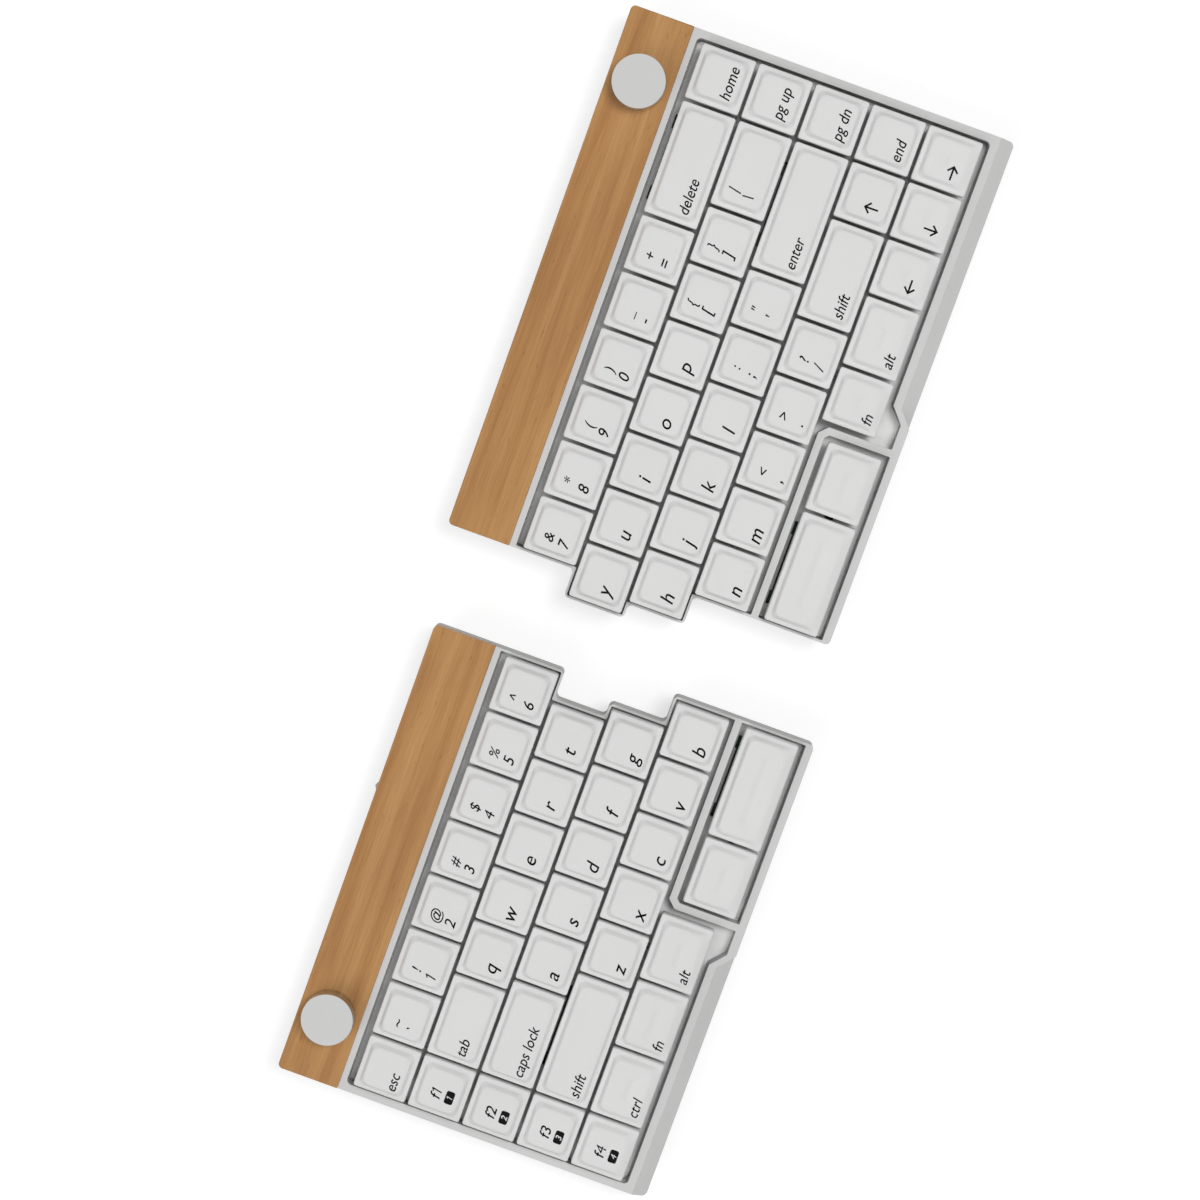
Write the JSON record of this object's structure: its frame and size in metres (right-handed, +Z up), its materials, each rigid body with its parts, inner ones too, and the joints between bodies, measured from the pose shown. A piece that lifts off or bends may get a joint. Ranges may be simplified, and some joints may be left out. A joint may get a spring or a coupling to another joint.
{
  "type": "split keyboard",
  "caption": "Ergonomic split keyboard in two separate halves with stepped inner edges, thumb keys, a wood strip along each back edge and a rotary knob at each outer corner.",
  "frame": {"origin": "centre of the footprint of both halves, on the table", "axes": "+X to the typist's right, +Y to the back, +Z up"},
  "size_m": [0.3648, 0.1366, 0.0257],
  "materials": {
    "tray": "fine matte",
    "frame": "fine matte",
    "wood": "oiled, grain along the length",
    "plate": "powder coat",
    "board": "solder mask",
    "housing": "moulded",
    "battery": "film wrap",
    "encoder": "moulded",
    "knob": "turned side, satin top",
    "port": "stamped",
    "lever": "moulded",
    "feet": "matte",
    "screw": "zinc",
    "keycap": "fine matte with black legends"
  },
  "bodies": {
    "left_half": {"left_bottom_tray": "tray", "left_top_frame": "frame", "left_wood_strip": "wood", "left_switch_plate": "plate", "left_circuit_board": "board", "left_switch_housings": "housing", "left_battery": "battery", "left_encoder": "encoder", "left_charging_port": "port", "left_rubber_feet": "feet", "left_case_screws": "screw", "left_mode_switch_body": "encoder"},
    "right_half": {"right_bottom_tray": "tray", "right_top_frame": "frame", "right_wood_strip": "wood", "right_switch_plate": "plate", "right_circuit_board": "board", "right_switch_housings": "housing", "right_battery": "battery", "right_encoder": "encoder", "right_charging_port": "port", "right_rubber_feet": "feet", "right_case_screws": "screw"},
    "left_knob": {"left_knob": "knob"},
    "right_knob": {"right_knob": "knob"},
    "left_mode_switch_lever": {"left_mode_switch_lever": "lever"},
    "left_escape_key": {"left_escape_key": "keycap"},
    "left_function_keys": {"left_function_keys": "keycap"},
    "left_number_keys": {"left_number_keys": "keycap"},
    "left_tab_key": {"left_tab_key": "keycap"},
    "left_top_row_keys": {"left_top_row_keys": "keycap"},
    "left_caps_lock_key": {"left_caps_lock_key": "keycap"},
    "left_home_row_keys": {"left_home_row_keys": "keycap"},
    "left_shift_key": {"left_shift_key": "keycap"},
    "left_bottom_row_keys": {"left_bottom_row_keys": "keycap"},
    "left_control_key": {"left_control_key": "keycap"},
    "left_command_key": {"left_command_key": "keycap"},
    "left_option_key": {"left_option_key": "keycap"},
    "left_small_thumb_key": {"left_small_thumb_key": "keycap"},
    "left_large_thumb_key": {"left_large_thumb_key": "keycap"},
    "right_number_keys": {"right_number_keys": "keycap"},
    "right_delete_key": {"right_delete_key": "keycap"},
    "right_home_key": {"right_home_key": "keycap"},
    "right_top_row_keys": {"right_top_row_keys": "keycap"},
    "right_backslash_key": {"right_backslash_key": "keycap"},
    "right_page_up_key": {"right_page_up_key": "keycap"},
    "right_home_row_keys": {"right_home_row_keys": "keycap"},
    "right_return_key": {"right_return_key": "keycap"},
    "right_page_down_key": {"right_page_down_key": "keycap"},
    "right_bottom_row_keys": {"right_bottom_row_keys": "keycap"},
    "right_shift_key": {"right_shift_key": "keycap"},
    "right_up_key": {"right_up_key": "keycap"},
    "right_end_key": {"right_end_key": "keycap"},
    "right_large_thumb_key": {"right_large_thumb_key": "keycap"},
    "right_small_thumb_key": {"right_small_thumb_key": "keycap"},
    "right_command_key": {"right_command_key": "keycap"},
    "right_option_key": {"right_option_key": "keycap"},
    "right_arrow_left_key": {"right_arrow_left_key": "keycap"},
    "right_arrow_down_key": {"right_arrow_down_key": "keycap"},
    "right_arrow_right_key": {"right_arrow_right_key": "keycap"}
  },
  "joints": [
    {"name": "halves_apart", "type": "slide", "parent": "left_half", "child": "right_half", "axis": [1, 0, 0], "range_m": [-0.018, 0.1]},
    {"name": "left_knob_turn", "type": "hinge", "parent": "left_half", "child": "left_knob", "pos_m": [-0.15987, 0.05075, 0.0191], "axis": [0, 0, 1], "continuous": true},
    {"name": "right_knob_turn", "type": "hinge", "parent": "right_half", "child": "right_knob", "pos_m": [0.15987, 0.05775, 0.0191], "axis": [0, 0, 1], "continuous": true},
    {"name": "mode_switch_slide", "type": "slide", "parent": "left_half", "child": "left_mode_switch_lever", "axis": [1, 0, 0], "range_m": [-0.002, 0.002]},
    {"name": "left_escape_key_press", "type": "slide", "parent": "left_half", "child": "left_escape_key", "axis": [0, 0, 1], "range_m": [-0.0035, 0], "stiffness_N_per_m": 75, "springref_m": 0.004},
    {"name": "left_function_keys_press", "type": "slide", "parent": "left_half", "child": "left_function_keys", "axis": [0, 0, 1], "range_m": [-0.0035, 0], "stiffness_N_per_m": 300, "springref_m": 0.004},
    {"name": "left_number_keys_press", "type": "slide", "parent": "left_half", "child": "left_number_keys", "axis": [0, 0, 1], "range_m": [-0.0035, 0], "stiffness_N_per_m": 525, "springref_m": 0.004},
    {"name": "left_tab_key_press", "type": "slide", "parent": "left_half", "child": "left_tab_key", "axis": [0, 0, 1], "range_m": [-0.0035, 0], "stiffness_N_per_m": 75, "springref_m": 0.004},
    {"name": "left_top_row_keys_press", "type": "slide", "parent": "left_half", "child": "left_top_row_keys", "axis": [0, 0, 1], "range_m": [-0.0035, 0], "stiffness_N_per_m": 375, "springref_m": 0.004},
    {"name": "left_caps_lock_key_press", "type": "slide", "parent": "left_half", "child": "left_caps_lock_key", "axis": [0, 0, 1], "range_m": [-0.0035, 0], "stiffness_N_per_m": 75, "springref_m": 0.004},
    {"name": "left_home_row_keys_press", "type": "slide", "parent": "left_half", "child": "left_home_row_keys", "axis": [0, 0, 1], "range_m": [-0.0035, 0], "stiffness_N_per_m": 375, "springref_m": 0.004},
    {"name": "left_shift_key_press", "type": "slide", "parent": "left_half", "child": "left_shift_key", "axis": [0, 0, 1], "range_m": [-0.0035, 0], "stiffness_N_per_m": 75, "springref_m": 0.004},
    {"name": "left_bottom_row_keys_press", "type": "slide", "parent": "left_half", "child": "left_bottom_row_keys", "axis": [0, 0, 1], "range_m": [-0.0035, 0], "stiffness_N_per_m": 375, "springref_m": 0.004},
    {"name": "left_control_key_press", "type": "slide", "parent": "left_half", "child": "left_control_key", "axis": [0, 0, 1], "range_m": [-0.0035, 0], "stiffness_N_per_m": 75, "springref_m": 0.004},
    {"name": "left_command_key_press", "type": "slide", "parent": "left_half", "child": "left_command_key", "axis": [0, 0, 1], "range_m": [-0.0035, 0], "stiffness_N_per_m": 75, "springref_m": 0.004},
    {"name": "left_option_key_press", "type": "slide", "parent": "left_half", "child": "left_option_key", "axis": [0, 0, 1], "range_m": [-0.0035, 0], "stiffness_N_per_m": 75, "springref_m": 0.004},
    {"name": "left_small_thumb_key_press", "type": "slide", "parent": "left_half", "child": "left_small_thumb_key", "axis": [0, 0, 1], "range_m": [-0.0035, 0], "stiffness_N_per_m": 75, "springref_m": 0.004},
    {"name": "left_large_thumb_key_press", "type": "slide", "parent": "left_half", "child": "left_large_thumb_key", "axis": [0, 0, 1], "range_m": [-0.0035, 0], "stiffness_N_per_m": 75, "springref_m": 0.004},
    {"name": "right_number_keys_press", "type": "slide", "parent": "right_half", "child": "right_number_keys", "axis": [0, 0, 1], "range_m": [-0.0035, 0], "stiffness_N_per_m": 450, "springref_m": 0.004},
    {"name": "right_delete_key_press", "type": "slide", "parent": "right_half", "child": "right_delete_key", "axis": [0, 0, 1], "range_m": [-0.0035, 0], "stiffness_N_per_m": 75, "springref_m": 0.004},
    {"name": "right_home_key_press", "type": "slide", "parent": "right_half", "child": "right_home_key", "axis": [0, 0, 1], "range_m": [-0.0035, 0], "stiffness_N_per_m": 75, "springref_m": 0.004},
    {"name": "right_top_row_keys_press", "type": "slide", "parent": "right_half", "child": "right_top_row_keys", "axis": [0, 0, 1], "range_m": [-0.0035, 0], "stiffness_N_per_m": 525, "springref_m": 0.004},
    {"name": "right_backslash_key_press", "type": "slide", "parent": "right_half", "child": "right_backslash_key", "axis": [0, 0, 1], "range_m": [-0.0035, 0], "stiffness_N_per_m": 75, "springref_m": 0.004},
    {"name": "right_page_up_key_press", "type": "slide", "parent": "right_half", "child": "right_page_up_key", "axis": [0, 0, 1], "range_m": [-0.0035, 0], "stiffness_N_per_m": 75, "springref_m": 0.004},
    {"name": "right_home_row_keys_press", "type": "slide", "parent": "right_half", "child": "right_home_row_keys", "axis": [0, 0, 1], "range_m": [-0.0035, 0], "stiffness_N_per_m": 450, "springref_m": 0.004},
    {"name": "right_return_key_press", "type": "slide", "parent": "right_half", "child": "right_return_key", "axis": [0, 0, 1], "range_m": [-0.0035, 0], "stiffness_N_per_m": 75, "springref_m": 0.004},
    {"name": "right_page_down_key_press", "type": "slide", "parent": "right_half", "child": "right_page_down_key", "axis": [0, 0, 1], "range_m": [-0.0035, 0], "stiffness_N_per_m": 75, "springref_m": 0.004},
    {"name": "right_bottom_row_keys_press", "type": "slide", "parent": "right_half", "child": "right_bottom_row_keys", "axis": [0, 0, 1], "range_m": [-0.0035, 0], "stiffness_N_per_m": 375, "springref_m": 0.004},
    {"name": "right_shift_key_press", "type": "slide", "parent": "right_half", "child": "right_shift_key", "axis": [0, 0, 1], "range_m": [-0.0035, 0], "stiffness_N_per_m": 75, "springref_m": 0.004},
    {"name": "right_up_key_press", "type": "slide", "parent": "right_half", "child": "right_up_key", "axis": [0, 0, 1], "range_m": [-0.0035, 0], "stiffness_N_per_m": 75, "springref_m": 0.004},
    {"name": "right_end_key_press", "type": "slide", "parent": "right_half", "child": "right_end_key", "axis": [0, 0, 1], "range_m": [-0.0035, 0], "stiffness_N_per_m": 75, "springref_m": 0.004},
    {"name": "right_large_thumb_key_press", "type": "slide", "parent": "right_half", "child": "right_large_thumb_key", "axis": [0, 0, 1], "range_m": [-0.0035, 0], "stiffness_N_per_m": 75, "springref_m": 0.004},
    {"name": "right_small_thumb_key_press", "type": "slide", "parent": "right_half", "child": "right_small_thumb_key", "axis": [0, 0, 1], "range_m": [-0.0035, 0], "stiffness_N_per_m": 75, "springref_m": 0.004},
    {"name": "right_command_key_press", "type": "slide", "parent": "right_half", "child": "right_command_key", "axis": [0, 0, 1], "range_m": [-0.0035, 0], "stiffness_N_per_m": 75, "springref_m": 0.004},
    {"name": "right_option_key_press", "type": "slide", "parent": "right_half", "child": "right_option_key", "axis": [0, 0, 1], "range_m": [-0.0035, 0], "stiffness_N_per_m": 75, "springref_m": 0.004},
    {"name": "right_arrow_left_key_press", "type": "slide", "parent": "right_half", "child": "right_arrow_left_key", "axis": [0, 0, 1], "range_m": [-0.0035, 0], "stiffness_N_per_m": 75, "springref_m": 0.004},
    {"name": "right_arrow_down_key_press", "type": "slide", "parent": "right_half", "child": "right_arrow_down_key", "axis": [0, 0, 1], "range_m": [-0.0035, 0], "stiffness_N_per_m": 75, "springref_m": 0.004},
    {"name": "right_arrow_right_key_press", "type": "slide", "parent": "right_half", "child": "right_arrow_right_key", "axis": [0, 0, 1], "range_m": [-0.0035, 0], "stiffness_N_per_m": 75, "springref_m": 0.004}
  ]
}
